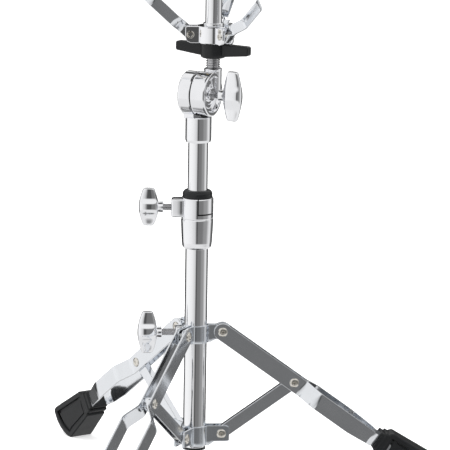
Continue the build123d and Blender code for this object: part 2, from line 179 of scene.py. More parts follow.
def lamp(name, power, size, place):
    """A square softbox that faces the middle of the stand."""
    data = bpy.data.lights.new(name, "AREA")
    data.energy = power
    data.size = size
    made = bpy.data.objects.new(name, data)
    bpy.context.scene.collection.objects.link(made)
    spot = Vector(place)
    towards = (Vector((0, 0, 0.3)) - spot).to_track_quat("-Z", "Y").to_matrix().to_4x4()
    made.matrix_world = Matrix.Translation(spot) @ towards
    made.visible_glossy = False
    return made


lamp("overhead_softbox", 60, 2.4, (-0.8, 0.2, 2.6))
lamp("front_softbox", 22, 1.6, (1.0, -2.2, 1.8))

# ---------------------------------------------------------------- tubes
# Two chromed steel tubes, one sliding in the other, cut square with the edges broken.

record = frame["record"]
body_of = {node: body for body, nodes in record["behaviour"]["bodies"].items() for node in nodes}
joints = {joint["name"]: joint for joint in frame["joints"]}
MILLIMETRES = Matrix.Scale(0.001, 4)


def finish_material(name, build):
    """A node material whose surface is what build makes of the object's own coordinates."""
    material = bpy.data.materials.new(name)
    material.use_nodes = True
    material.node_tree.nodes.clear()
    start = Wire(material.node_tree)
    place = start.node("ShaderNodeTexCoord", out="Object")
    surface = build(place)
    surface.node("ShaderNodeOutputMaterial", {"Surface": surface})
    return material


def chrome_finish(tint, rough, ripple, streak=1.0):
    """Chrome plate: faint wipe marks in its gloss, fine scratches and a slight ripple of the metal below."""

    def build(place):
        stretched = place.node("ShaderNodeMapping", {"Vector": place, "Scale": (1, 1, streak)})
        wipes = place.node("ShaderNodeTexNoise", {"Vector": stretched, "Scale": 38.0, "Detail": 5.0})
        scratches = place.node(
            "ShaderNodeTexNoise", {"Vector": stretched, "Scale": 900.0, "Detail": 2.0},
        )
        waves = place.node("ShaderNodeTexNoise", {"Vector": place, "Scale": 120.0, "Detail": 1.0})
        gloss = rough + (wipes - 0.5) * (rough * 0.9)
        height = scratches * 0.15 + waves * ripple
        bump = place.node("ShaderNodeBump", {"Height": height, "Strength": 0.12, "Distance": 0.0002})
        shade = place.node(
            "ShaderNodeValToRGB", {"Fac": wipes},
            stops=[(0.3, tuple(0.95 * part for part in tint) + (1,)), (0.7, tuple(tint) + (1,))],
        )
        return place.node(
            "ShaderNodeBsdfPrincipled",
            {"Base Color": shade, "Metallic": 1.0, "Roughness": gloss, "Normal": bump},
        )

    return build


tube_chrome = finish_material("tube_chrome", chrome_finish((0.96, 0.965, 0.98), 0.045, 0.2, 0.2))


def turned(bm, outline, steps=96):
    """Spins an outline of (radius, height) about Z; an outline that starts on the axis stays open there.
    Long straight runs get a point near each end, which keeps their shading straight."""
    held = []
    for (r0, z0), (r1, z1) in zip(outline, outline[1:] + outline[:1]):
        held.append((r0, z0))
        run = math.hypot(r1 - r0, z1 - z0)
        if run > 3 and max(r0, r1) > 0 and (r0 > 0 or r1 > 0):
            for part in (0.7 / run, 1 - 0.7 / run):
                held.append((r0 + (r1 - r0) * part, z0 + (z1 - z0) * part))
    if outline[0][0] == 0:
        while held[-1] != outline[-1]:
            held.pop()
    points = [bm.verts.new((radius, 0, height)) for radius, height in held]
    pairs = list(zip(points, points[1:]))
    if outline[0][0] > 0:
        pairs.append((points[-1], points[0]))
    edges = [bm.edges.new(pair) for pair in pairs]
    bmesh.ops.spin(
        bm, geom=points + edges, axis=(0, 0, 1), cent=(0, 0, 0), angle=math.tau, steps=steps, use_merge=True,
    )
    bmesh.ops.remove_doubles(bm, verts=bm.verts, dist=0.001)
    bmesh.ops.recalc_face_normals(bm, faces=bm.faces)


def soften(bm, width, segments=2, angle=30):
    """Rounds every edge that is sharper than an angle."""
    limit = math.radians(angle)
    edges = [edge for edge in bm.edges if edge.is_manifold and edge.calc_face_angle() > limit]
    bmesh.ops.bevel(
        bm, geom=edges, offset=width, segments=segments, profile=0.5, affect="EDGES", material=-1,
        clamp_overlap=True,
    )


def piece(node, bm, place, material, levels=0):
    """Finishes a mesh drawn in millimetres as the piece that stands for a CAD node and rides its body."""
    bmesh.ops.remove_doubles(bm, verts=bm.verts, dist=0.002)
    bmesh.ops.recalc_face_normals(bm, faces=bm.faces)
    bm.transform(place @ MILLIMETRES)
    for face in bm.faces:
        flat = face.calc_area() > 4e-5 and not levels
        face.smooth = not (flat and any(
            edge.is_manifold and edge.calc_length() > 0.0012 and edge.calc_face_angle() > 0.21 for edge in face.edges
        ))
    for edge in bm.edges:
        edge.smooth = not (edge.is_manifold and edge.calc_face_angle() > math.radians(38))
    mesh = bpy.data.meshes.new(node + "_look")
    bm.to_mesh(mesh)
    bm.free()
    mesh.materials.append(material)
    made = bpy.data.objects.new(node + "_look", mesh)
    bpy.context.scene.collection.objects.link(made)
    if levels:
        smooth = made.modifiers.new("smooth", "SUBSURF")
        smooth.levels = levels
        smooth.render_levels = levels
    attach(made, body_of[node])
    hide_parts(node)
    return made


def tube(node, outer, wall):
    low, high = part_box(node)
    bm = bmesh.new()
    bottom, top = low.z * 1000, high.z * 1000
    turned(bm, [(outer, bottom), (outer, top), (outer - wall, top), (outer - wall, bottom)], 128)
    soften(bm, 0.3)
    piece(node, bm, Matrix(), tube_chrome)


tube("base_tube", 12.7, 1.5)
tube("upper_tube", 11.1, 1.5)

# ---------------------------------------------------------------- height clamp
# A die-cast clamp pressed on the base tube: a rounded barrel, a slit ring above it and a square boss for
# the wing bolt. A black nylon bushing in the ring guides the upper tube.

cast_chrome = finish_material("cast_chrome", chrome_finish((0.95, 0.955, 0.975), 0.06, 0.5))


def black_finish(tone, rough, grain, size):
    """Moulded black plastic or rubber: a fine sparkle of grain and slight unevenness in its gloss."""

    def build(place):
        fine = place.node("ShaderNodeTexNoise", {"Vector": place, "Scale": size, "Detail": 3.0})
        broad = place.node("ShaderNodeTexNoise", {"Vector": place, "Scale": 45.0, "Detail": 3.0})
        shade = place.node(
            "ShaderNodeValToRGB", {"Fac": broad},
            stops=[(0.3, tuple(0.8 * part for part in tone) + (1,)), (0.75, tuple(tone) + (1,))],
        )
        gloss = rough + (broad - 0.5) * 0.18
        bump = place.node("ShaderNodeBump", {"Height": fine, "Strength": grain, "Distance": 0.0003})
        return place.node(
            "ShaderNodeBsdfPrincipled",
            {"Base Color": shade, "Roughness": gloss, "Normal": bump, "Specular IOR Level": 0.32},
        )

    return build


black_nylon = finish_material("black_nylon", black_finish((0.009, 0.01, 0.011), 0.36, 0.12, 1400.0))


def boxed(bm, low, high):
    """Adds a box between two corners."""
    made = bmesh.ops.create_cube(bm, size=1.0)["verts"]
    size = [b - a for a, b in zip(low, high)]
    middle = [(a + b) / 2 for a, b in zip(low, high)]
    bmesh.ops.scale(bm, vec=size, verts=made)
    bmesh.ops.translate(bm, vec=middle, verts=made)
    return made


def carve(made, cutter):
    """Cuts a drawn shape out of a finished piece, then smooths the piece's shading again."""
    mesh = bpy.data.meshes.new("cutter")
    bmesh.ops.recalc_face_normals(cutter, faces=cutter.faces)
    cutter.transform(MILLIMETRES)
    cutter.to_mesh(mesh)
    cutter.free()
    tool = bpy.data.objects.new("cutter", mesh)
    bpy.context.scene.collection.objects.link(tool)
    cut = made.modifiers.new("cut", "BOOLEAN")
    cut.operation = "DIFFERENCE"
    cut.object = tool
    cut.solver = "EXACT"
    bpy.context.view_layer.update()
    whole = bpy.data.meshes.new_from_object(made.evaluated_get(bpy.context.evaluated_depsgraph_get()))
    made.modifiers.remove(cut)
    bm = bmesh.new()
    bm.from_mesh(whole)
    for edge in bm.edges:
        edge.smooth = not (edge.is_manifold and edge.calc_face_angle() > math.radians(38))
    bm.to_mesh(whole)
    bm.free()
    old = made.data
    made.data = whole
    whole.name = old.name
    bpy.data.meshes.remove(old)
    bpy.data.objects.remove(tool)


clamp_low, clamp_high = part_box("height_clamp_body")
clamp_foot = clamp_low.z * 1000
clamp_head = clamp_high.z * 1000
clamp_step = clamp_foot + 33.5
bm = bmesh.new()
turned(bm, [
    (12.75, clamp_foot + 0.2), (14.2, clamp_foot), (15.3, clamp_foot + 0.7), (16.2, clamp_foot + 2.6),
    (16.8, clamp_foot + 7), (17.4, clamp_foot + 18), (17.9, clamp_step - 4), (17.95, clamp_step - 1.6),
    (17.5, clamp_step - 0.3), (17.3, clamp_step + 0.3), (17.85, clamp_step + 1.2), (17.9, clamp_head - 1.6),
    (17.3, clamp_head - 0.4), (16.4, clamp_head), (14.25, clamp_head), (14.25, clamp_step),
    (12.75, clamp_step),
], 128)
boss = boxed(bm, (-28.8, -9.5, clamp_head - 22.3), (-15.4, 9.5, clamp_head - 1.8))
for vert in boss:
    if vert.co.x < -20:
        vert.co.y *= 0.85
edges = {edge for vert in boss for edge in vert.link_edges}
bmesh.ops.bevel(
    bm, geom=list(edges), offset=2.2, segments=4, profile=0.5, affect="EDGES", material=-1,
)
clamp = piece("height_clamp_body", bm, Matrix(), cast_chrome)
slit = bmesh.new()
boxed(slit, (0.4, -30, clamp_step + 5.6), (30, 3, clamp_step + 7.2))
carve(clamp, slit)
slit = bmesh.new()
boxed(slit, (0.4, -30, clamp_step + 6.4), (1.7, -5, clamp_head + 2))
carve(clamp, slit)

bushing_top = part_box("height_clamp_bushing")[1].z * 1000
bm = bmesh.new()
turned(bm, [
    (11.2, clamp_step), (14.2, clamp_step), (14.2, clamp_head), (16.5, clamp_head), (16.5, bushing_top - 3.2),
    (16.0, bushing_top - 2.2), (14.6, bushing_top - 0.4), (13.6, bushing_top), (11.2, bushing_top),
])
soften(bm, 0.25)
piece("height_clamp_bushing", bm, Matrix(), black_nylon)

# ---------------------------------------------------------------- wing bolts
# Three chromed zinc wings, cast on the ends of steel bolts: the clamp's, the collar's and the tilter's.

bolt_steel = finish_material("bolt_steel", chrome_finish((0.62, 0.62, 0.63), 0.2, 0.3))


def joint_place(name):
    """The frame of a joint: its axis is +X, and +Z is as near to up as it goes."""
    joint = joints[name]
    out = Vector(joint["axis"]).normalized()
    side = Vector((0, 0, 1)).cross(out).normalized()
    upward = out.cross(side)
    turn = Matrix((out, side, upward)).transposed().to_4x4()
    return Matrix.Translation(Vector(joint["pos_m"])) @ turn


def wing_head(node, place, start, height):
    """A barrel on the bolt's axis that grows into two tapering wings, thinner than the barrel."""
    half = height / 2
    bm = bmesh.new()
    middle = start + 10.5
    boxed(bm, (middle - 11.6, -7.6, -4), (middle + 11.6, 7.6, 4))
    for sign in (1, -1):
        tip = max(bm.faces, key=lambda face: sign * face.calc_center_median().z)
        for rise, reach, thick in (
            (0.34, 10.8, 5.6), (0.5, 10.0, 4.3), (0.8, 8.0, 3.8), (0.985, 6.2, 3.5),
        ):
            grown = bmesh.ops.extrude_face_region(bm, geom=[tip])
            bmesh.ops.delete(bm, geom=[tip], context="FACES")
            tip = next(item for item in grown["geom"] if isinstance(item, bmesh.types.BMFace))
            for vert in tip.verts:
                vert.co.x = middle + math.copysign(reach, vert.co.x - middle)
                vert.co.y = math.copysign(thick, vert.co.y)
                vert.co.z = sign * half * rise
        rim = bmesh.ops.inset_region(bm, faces=[tip], thickness=1.2, depth=0.5)
    bmesh.ops.subdivide_edges(
        bm, edges=[edge for edge in bm.edges if abs(edge.verts[0].co.x - edge.verts[1].co.x) > 4], cuts=1,
    )
    neck = bmesh.ops.create_cone(
        bm, cap_ends=True, segments=24, radius1=6.5, radius2=6.0, depth=6.0,
    )["verts"]
    bmesh.ops.rotate(bm, verts=neck, matrix=Matrix.Rotation(math.pi / 2, 3, "Y"))
    bmesh.ops.translate(bm, verts=neck, vec=(start - 2.6, 0, 0))
    caps = [face for face in bm.faces if len(face.verts) == 24]
    bmesh.ops.inset_region(bm, faces=caps, thickness=0.5)
    piece(node, bm, place, cast_chrome, 3)


def screw(node, place, start, end, crest, pitch):
    """A rolled thread: one tooth of the outline spun along a helix, on a solid core."""
    root = crest - 0.6 * pitch
    turns = math.floor((end - start) / pitch) - 1
    steps = 28
    bm = bmesh.new()
    tooth = [(root, 0), (root, pitch * 0.15), (crest, pitch * 0.45), (crest, pitch * 0.6), (root, pitch * 0.9),
             (root, pitch)]
    points = [bm.verts.new((radius, 0, start + height)) for radius, height in tooth]
    edges = [bm.edges.new(pair) for pair in zip(points, points[1:])]
    bmesh.ops.spin(
        bm, geom=points + edges, axis=(0, 0, 1), cent=(0, 0, 0), angle=math.tau * turns,
        steps=steps * turns, dvec=(0, 0, pitch / steps),
    )
    bmesh.ops.remove_doubles(bm, verts=bm.verts, dist=0.01)
    open_edges = [edge for edge in bm.edges if edge.is_boundary]
    bmesh.ops.holes_fill(bm, edges=open_edges, sides=0)
    core = bmesh.ops.create_cone(
        bm, cap_ends=True, segments=28, radius1=root + 0.05, radius2=root + 0.05, depth=end - start,
    )["verts"]
    bmesh.ops.translate(bm, verts=core, vec=(0, 0, (start + end) / 2))
    piece(node, bm, place, bolt_steel)


ALONG_AXIS = Matrix.Rotation(math.pi / 2, 4, "Y")
for node, bolt, joint, tip, start, height in (
    ("height_clamp_wing_head", "height_clamp_bolt", "height_clamp_bolt_turn", 14.6, 43.5, 42),
    ("collar_wing_head", "collar_bolt", "collar_bolt_turn", 13.05, 43.5, 47),
    ("tilter_wing_head", "tilter_bolt", "tilter_bolt_turn", -11.0, 30.4, 55),
):
    place = joint_place(joint)
    wing_head(node, place, start, height)
    screw(bolt, place @ ALONG_AXIS, tip, start + 5.6, 4.0, 1.25)

# ---------------------------------------------------------------- rivets
# Plated steel rivets with domed heads and a dimple in the middle, where the legs and struts turn.

rivet_nickel = finish_material("rivet_nickel", chrome_finish((0.78, 0.75, 0.69), 0.16, 0.4))


def rivet_head(bm, base, place):
    """One domed head, drawn on Z from its base upwards, then put in place."""
    head = bmesh.new()
    turned(head, [
        (0, base + 0.3), (1.2, base + 0.4), (1.7, base + 1.2), (2.1, base + 1.6), (2.9, base + 1.6),
        (4.3, base + 1.3), (5.1, base + 0.8), (5.4, base + 0.3), (5.4, base), (2.9, base), (2.9, 0), (0, 0),
    ], 36)
    head.transform(place)
    mesh = bpy.data.meshes.new("head")
    head.to_mesh(mesh)
    head.free()
    bm.from_mesh(mesh)
    bpy.data.meshes.remove(mesh)


def pivot_frame(name):
    """A pivot's frame, placed in metres: its axis is +Y."""
    joint = joints[name]
    side = Vector(joint["axis"]).normalized()
    out = side.cross(Vector((0, 0, 1))).normalized()
    turn = Matrix((out, side, out.cross(side))).transposed().to_4x4()
    return Matrix.Translation(Vector(joint["pos_m"])) @ turn


def rivets(node, frames, grip):
    bm = bmesh.new()
    for place in frames:
        local = place.copy()
        local.translation *= 1000
        for turn in (-math.pi / 2, math.pi / 2):
            rivet_head(bm, grip, local @ Matrix.Rotation(turn, 4, "X"))
    piece(node, bm, Matrix(), rivet_nickel)


legs = ("right", "left", "front")
lower_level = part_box("lower_strut_rivets")
lower_pivot = (lower_level[0].z + lower_level[1].z) / 2
upper_frames = [pivot_frame(f"{leg}_leg_fold") for leg in legs]
lower_frames = [frame_at.copy() for frame_at in upper_frames]
for frame_at in lower_frames:
    frame_at.translation.z = lower_pivot
rivets("upper_leg_rivets", upper_frames, 6.65)
rivets("lower_strut_rivets", lower_frames, 6.1)
for leg in legs:
    rivets(f"{leg}_leg_rivet", [pivot_frame(f"{leg}_strut_fold")], 6.5)

# ---------------------------------------------------------------- collars
# Each collar is three pressed steel brackets round the tube. Their flanges meet in pairs and make the ears
# that a leg or a strut turns between.

pressed_chrome = finish_material("pressed_chrome", chrome_finish((0.76, 0.79, 0.83), 0.1, 0.4))


def bracket(node, heading, gap, low, high, ear_low):
    """Half the sheet is drawn from its middle to one ear, given its thickness and mirrored."""
    radius = 12.85
    reach = 39.0
    bend = 60 - math.degrees(math.asin((gap + 0.4) / radius))
    bm = bmesh.new()
    path = [
        (radius * math.cos(math.radians(a)), radius * math.sin(math.radians(a)))
        for a in [(bend - 13) * step / 12 for step in range(13)] + [bend]
    ]
    ear_turn = Matrix.Rotation(math.radians(60), 2)
    for along_ear in (16.5, 22, reach - 5, reach):
        point = ear_turn @ Vector((along_ear, -gap))
        path.append((point.x, point.y))
    verts = [bm.verts.new((x, y, low)) for x, y in path]
    edges = [bm.edges.new(pair) for pair in zip(verts, verts[1:])]
    grown = bmesh.ops.extrude_edge_only(bm, edges=edges)["geom"]
    tops = [item for item in grown if isinstance(item, bmesh.types.BMVert)]
    bmesh.ops.translate(bm, verts=tops, vec=(0, 0, high - low))
    bmesh.ops.subdivide_edges(
        bm, edges=[e for e in bm.edges if abs(e.verts[0].co.z - e.verts[1].co.z) > 5], cuts=3,
    )
    for vert in bm.verts:
        if vert.co.to_2d().length > 21 and vert.co.z < ear_low:
            vert.co.z = ear_low
    corners = [v for v in bm.verts if v.co.to_2d().length > reach - 0.5 and len(v.link_edges) == 2]
    bmesh.ops.bevel(
        bm, geom=corners, offset=4.5, segments=6, profile=0.5, affect="VERTICES", material=-1,
    )
    bmesh.ops.recalc_face_normals(bm, faces=bm.faces)
    middle = min(bm.faces, key=lambda face: face.calc_center_median().xy.length + abs(face.calc_center_median().y))
    if middle.normal.x > 0:
        bmesh.ops.reverse_faces(bm, faces=bm.faces)
    bmesh.ops.solidify(bm, geom=list(bm.faces), thickness=2.0)
    half = bmesh.ops.mirror(bm, geom=list(bm.verts) + list(bm.edges) + list(bm.faces), axis="Y",
                            matrix=Matrix(), merge_dist=0.01)
    middle_faces = [f for f in bm.faces if all(abs(v.co.y) < 0.01 for v in f.verts)]
    bmesh.ops.delete(bm, geom=middle_faces, context="FACES")
    bmesh.ops.remove_doubles(bm, verts=bm.verts, dist=0.01)
    bmesh.ops.recalc_face_normals(bm, faces=bm.faces)
    soften(bm, 0.6, 3, 40)
    piece(node, bm, Matrix.Rotation(math.radians(heading), 4, "Z"), pressed_chrome)


right_pivot = Vector(joints["right_leg_fold"]["pos_m"])
first = math.degrees(math.atan2(right_pivot.y, right_pivot.x))
for step, side in enumerate(("rear", "left", "front")):
    heading = first + 60 + 120 * step
    for level, gap in (("upper", 1.7), ("lower", 4.1)):
        low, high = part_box(f"{level}_bracket_{side}")
        pivot = (right_pivot.z if level == "upper" else lower_pivot) * 1000
        bottom = low.z * 1000
        bracket(f"{level}_bracket_{side}", heading, gap, bottom, high.z * 1000, max(bottom, pivot - 9))

nut_place = joint_place("collar_bolt_turn")
bm = bmesh.new()
boxed(bm, (14.0, -7, -7), (22.8, 7, 7))
soften(bm, 1.6, 4)
piece("collar_bolt_nut", bm, nut_place, cast_chrome)

# ---------------------------------------------------------------- leg strips
# Each leg is two flat strips of chromed steel, punched for two rivets, cranked apart below the strut's
# rivet and bent in again where they enter the rubber foot.

strip_chrome = finish_material("strip_chrome", chrome_finish((0.86, 0.88, 0.91), 0.12, 0.35))


def leg_place(leg):
    """A leg's frame: +X runs down the leg from its upper pivot and +Y is the pivot's axis."""
    start = Vector(joints[f"{leg}_leg_fold"]["pos_m"])
    down = (Vector(joints[f"{leg}_strut_fold"]["pos_m"]) - start).normalized()
    side = Vector(joints[f"{leg}_leg_fold"]["axis"]).normalized()
    turn = Matrix((down, side, down.cross(side))).transposed().to_4x4()
    return Matrix.Translation(start) @ turn


def ramp_over(x, place, blend):
    """A bend in a strip: nothing before it, a straight slope after it and a short curve between."""
    past = x - place
    if past <= -blend:
        return 0.0
    if past >= blend:
        return past
    return (past + blend) ** 2 / (4 * blend)


def strip_offset(x, bends):
    """How far a strip stands from the leg's middle: each bend changes its slope."""
    spread = bends[0][1]
    slope = 0.0
    for (here, level), (after, next_level) in zip(bends, bends[1:]):
        new_slope = (next_level - level) / (after - here)
        spread += (new_slope - slope) * ramp_over(x, here, 3.2)
        slope = new_slope
    return spread


def strip(node, place, sign):
    half = 9.75
    end = 236.0
    bend_in, bend_end = (178.0, 212.0) if sign > 0 else (207.5, 216.0)
    bends = [(-20.0, 4.0), (112.5, 4.0), (130.5, 16.5), (bend_in, 16.5), (bend_end, 7.75), (end + 20, 7.75)]
    bm = bmesh.new()
    turn = math.pi / 14
    outline = [(-half * math.sin(turn * k), half * math.cos(turn * k)) for k in range(15)]
    outline += [(180, -half), (210, -6.8), (end, -6.8), (end, half - 4), (205, half - 0.5), (180, half)]
    bm.faces.new([bm.verts.new((x, 0, z)) for x, z in outline])
    cuts = [1.0]
    for here, _ in bends[1:-1]:
        cuts += [here + 3.2 * part for part in (-1, -0.5, 0, 0.5, 1)]
    for cut in cuts:
        bmesh.ops.bisect_plane(
            bm, geom=list(bm.verts) + list(bm.edges) + list(bm.faces), plane_co=(cut, 0, 0), plane_no=(1, 0, 0),
        )
    for vert in bm.verts:
        vert.co.y = strip_offset(vert.co.x, bends)
    bmesh.ops.recalc_face_normals(bm, faces=bm.faces)
    if max(bm.faces, key=lambda face: face.calc_area()).normal.y > 0:
        bmesh.ops.reverse_faces(bm, faces=bm.faces)
    bmesh.ops.solidify(bm, geom=list(bm.faces), thickness=2.5)
    soften(bm, 0.4, 2, 50)
    if sign < 0:
        bmesh.ops.scale(bm, vec=(1, -1, 1), verts=bm.verts)
    piece(node, bm, place, strip_chrome)


for leg in legs:
    strip(f"{leg}_leg_strip_a", leg_place(leg), 1)
    strip(f"{leg}_leg_strip_b", leg_place(leg), -1)

# ---------------------------------------------------------------- feet
# Moulded black rubber feet pushed on the ends of the strips: a neck, a shouldered body with a sunk panel in
# each side, and a rounded sole with a small flat where it stands.

black_rubber = finish_material("black_rubber", black_finish((0.009, 0.01, 0.011), 0.38, 0.3, 900.0))


def foot(node, place):
    bm = bmesh.new()
    outline = [
        (226, -12.5), (223.8, 2), (222.5, 15.5), (226, 19), (255, 21.2), (282, 23.4), (286.5, 22.9),
        (289, 20), (289.4, 10), (287.4, 0), (283.0, -9.2), (278.4, -15.6), (272.5, -20.3),
    ]
    side = bm.faces.new([bm.verts.new((x, -1, z)) for x, z in outline])
    grown = bmesh.ops.extrude_face_region(bm, geom=[side])["geom"]
    bmesh.ops.translate(bm, vec=(0, 2, 0), verts=[v for v in grown if isinstance(v, bmesh.types.BMVert)])
    bmesh.ops.bisect_plane(
        bm, geom=list(bm.verts) + list(bm.edges) + list(bm.faces), plane_co=(265, 0, 0), plane_no=(1, 0, 0),
    )
    for vert in bm.verts:
        vert.co.y *= 12.2 + 2.3 * min(1.0, max(0.0, (vert.co.x - 222) / 43))
    bmesh.ops.recalc_face_normals(bm, faces=bm.faces)
    soften(bm, 1.3, 3, 34)
    for sign in (1, -1):
        panel = [face for face in bm.faces if sign * face.normal.y > 0.9 and face.calc_area() > 60]
        bmesh.ops.inset_region(bm, faces=panel, thickness=4.2)
        bmesh.ops.inset_region(bm, faces=panel, thickness=0.5, depth=-0.4)
        bmesh.ops.inset_region(bm, faces=panel, thickness=0.6, depth=-2.2)
        bmesh.ops.inset_region(bm, faces=panel, thickness=2.2)
        bmesh.ops.inset_region(bm, faces=panel, thickness=0.7, depth=1.1)
    level = place.inverted()
    bmesh.ops.bisect_plane(
        bm, geom=list(bm.verts) + list(bm.edges) + list(bm.faces), plane_co=level.translation * 1000,
        plane_no=level.to_3x3() @ Vector((0, 0, -1)), clear_outer=True,
    )
    bmesh.ops.holes_fill(bm, edges=[edge for edge in bm.edges if edge.is_boundary], sides=0)
    for low, high, round_by in (
        ((213.5, -11.7, -8.0), (230, 11.7, 12.5), 1.4), ((218.5, -12.6, -10.5), (227, 12.6, 15.0), 1.6),
    ):
        collar = boxed(bm, low, high)
        edges = {edge for vert in collar for edge in vert.link_edges}
        bmesh.ops.bevel(
            bm, geom=list(edges), offset=round_by, segments=3, profile=0.5, affect="EDGES", material=-1,
        )
    piece(node, bm, place, black_rubber)


for leg in legs:
    foot(f"{leg}_foot", leg_place(leg))

# ---------------------------------------------------------------- struts
# Folded steel channels, open underneath, from the lower collar's ears to the legs.


def strut(node, place):
    length = 100.2
    half = 7.2
    bm = bmesh.new()
    turn = math.pi / 12
    outline = [(-half * math.sin(turn * k), half * math.cos(turn * k)) for k in range(13)]
    outline += [(length + half * math.sin(turn * k), -half * math.cos(turn * k)) for k in range(13)]
    side = bm.faces.new([bm.verts.new((x, -3.8, z)) for x, z in outline])
    grown = bmesh.ops.extrude_face_region(bm, geom=[side])["geom"]
    bmesh.ops.translate(bm, vec=(0, 7.6, 0), verts=[v for v in grown if isinstance(v, bmesh.types.BMVert)])
    bmesh.ops.recalc_face_normals(bm, faces=bm.faces)
    under = min(bm.faces, key=lambda face: face.normal.z * face.calc_area())
    bmesh.ops.inset_region(bm, faces=[under], thickness=1.5)
    bmesh.ops.inset_region(bm, faces=[under], thickness=0.01, depth=-11.5)
    soften(bm, 0.5, 3, 50)
    piece(node, bm, place, strip_chrome)


for leg in legs:
    start = Vector(joints[f"{leg}_leg_fold"]["pos_m"])
    start.z = lower_pivot
    far = Vector(joints[f"{leg}_strut_fold"]["pos_m"])
    side = Vector(joints[f"{leg}_leg_fold"]["axis"]).normalized()
    out = (far - start).normalized()
    turn = Matrix((out, side, out.cross(side))).transposed().to_4x4()
    strut(f"{leg}_strut", Matrix.Translation(start) @ turn)

# ---------------------------------------------------------------- tilter
# Two castings that meet in a drum: the lower has the sleeve on the upper tube, the upper turns on the wing
# bolt and carries the threaded rod. A toothed disc sits in the seam.

drum = joint_place("basket_tilt")
drum_r = 24.5
bm = bmesh.new()
turned(bm, [
    (0, -15.6), (21.8, -15.6), (23.4, -15.1), (24.2, -14.2), (24.5, -13.0), (24.5, -1.6), (24.2, -0.8),
    (23.2, -0.5), (0, -0.5),
], 128)
bmesh.ops.rotate(bm, verts=bm.verts, cent=(0, 0, 0), matrix=Matrix.Rotation(math.pi / 2, 3, "Y"))
sleeve_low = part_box("tilter_base")[0].z * 1000 - joints["basket_tilt"]["pos_m"][2] * 1000
sleeve = bmesh.new()
turned(sleeve, [
    (11.15, sleeve_low), (12.9, sleeve_low), (13.6, sleeve_low + 0.3), (14.25, sleeve_low + 2.2),
    (14.45, sleeve_low + 3.4), (14.45, -26.6), (14.2, -26.0), (13.4, -25.4), (0, -25.4), (0, -26.0),
    (11.15, -26.0),
], 96)
mesh = bpy.data.meshes.new("sleeve")
sleeve.to_mesh(mesh)
sleeve.free()
bm.from_mesh(mesh)
bpy.data.meshes.remove(mesh)
neck = boxed(bm, (-13.9, -9.5, -28), (-1.2, 9.5, -15))
edges = {edge for vert in neck for edge in vert.link_edges}
bmesh.ops.bevel(bm, geom=list(edges), offset=1.0, segments=3, profile=0.5, affect="EDGES", material=-1)
piece("tilter_base", bm, drum, cast_chrome)

bm = bmesh.new()
turned(bm, [
    (4.05, 0.5), (23.2, 0.5), (24.2, 0.8), (24.5, 1.6), (24.5, 15.6), (24.2, 16.7), (23.2, 17.5),
    (21.2, 17.6), (20.2, 17.2), (19.4, 15.8), (18.6, 13.4), (16.0, 12.6), (15.2, 13.2), (11.5, 13.6),
    (10.6, 12.6), (8.4, 12.4), (7.6, 13.0), (7.5, 16.0), (7.0, 16.6), (4.05, 16.6),
], 128)
bmesh.ops.rotate(bm, verts=bm.verts, cent=(0, 0, 0), matrix=Matrix.Rotation(math.pi / 2, 3, "Y"))
rod_axis = Vector(joints["basket_nut_turn"]["pos_m"])
rod_local = (drum.inverted() @ rod_axis) * 1000
boss = bmesh.new()
turned(boss, [
    (0, -3), (8.7, -3), (9.7, -1.5), (9.7, drum_r), (9.9, drum_r + 0.3), (9.9, drum_r + 1.9),
    (9.5, drum_r + 2.3), (8.05, drum_r + 2.3), (8.05, 2), (0, 2),
], 64)
bmesh.ops.translate(boss, verts=boss.verts, vec=(rod_local.x, rod_local.y, 0))
bmesh.ops.bisect_plane(
    boss, geom=list(boss.verts) + list(boss.edges) + list(boss.faces), plane_co=(0.5, 0, 0),
    plane_no=(-1, 0, 0), clear_outer=True,
)
bmesh.ops.holes_fill(boss, edges=[edge for edge in boss.edges if edge.is_boundary], sides=0)
mesh = bpy.data.meshes.new("boss")
boss.to_mesh(mesh)
boss.free()
bm.from_mesh(mesh)
bpy.data.meshes.remove(mesh)
piece("tilter_top", bm, drum, cast_chrome)

bm = bmesh.new()
turned(bm, [(4.3, -0.5), (23.4, -0.5), (23.4, 0.4), (4.3, 0.4)], 96)
bmesh.ops.rotate(bm, verts=bm.verts, cent=(0, 0, 0), matrix=Matrix.Rotation(math.pi / 2, 3, "Y"))
piece("tilter_friction_disc", bm, drum, black_nylon)

# ---------------------------------------------------------------- basket
# A threaded rod carries the basket. Its black wing nut lifts the hub on the chromed post, and the hub's
# three pressed arms close on the drum through rubber grips.

rod_low, rod_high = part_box("threaded_rod")
post_place = Matrix.Translation((rod_axis.x, rod_axis.y, 0))
screw("threaded_rod", post_place, rod_low.z * 1000 + 0.2, rod_high.z * 1000, 8.0, 2.5)

post_low, post_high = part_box("basket_post")
bm = bmesh.new()
turned(bm, [
    (8.0, post_low.z * 1000), (12.6, post_low.z * 1000), (12.6, post_low.z * 1000 + 2.6),
    (9.25, post_low.z * 1000 + 2.6), (9.25, post_high.z * 1000), (8.0, post_high.z * 1000),
], 96)
soften(bm, 0.25)
piece("basket_post", bm, post_place, tube_chrome)

cap_low, cap_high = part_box("post_cap")
bm = bmesh.new()
turned(bm, [
    (0, cap_low.z * 1000), (9.3, cap_low.z * 1000), (9.8, cap_low.z * 1000 + 0.5),
    (9.8, cap_high.z * 1000 - 3), (9.3, cap_high.z * 1000 - 1.4), (7.9, cap_high.z * 1000 - 0.3),
    (6.2, cap_high.z * 1000), (0, cap_high.z * 1000),
], 64)
piece("post_cap", bm, post_place, black_nylon)

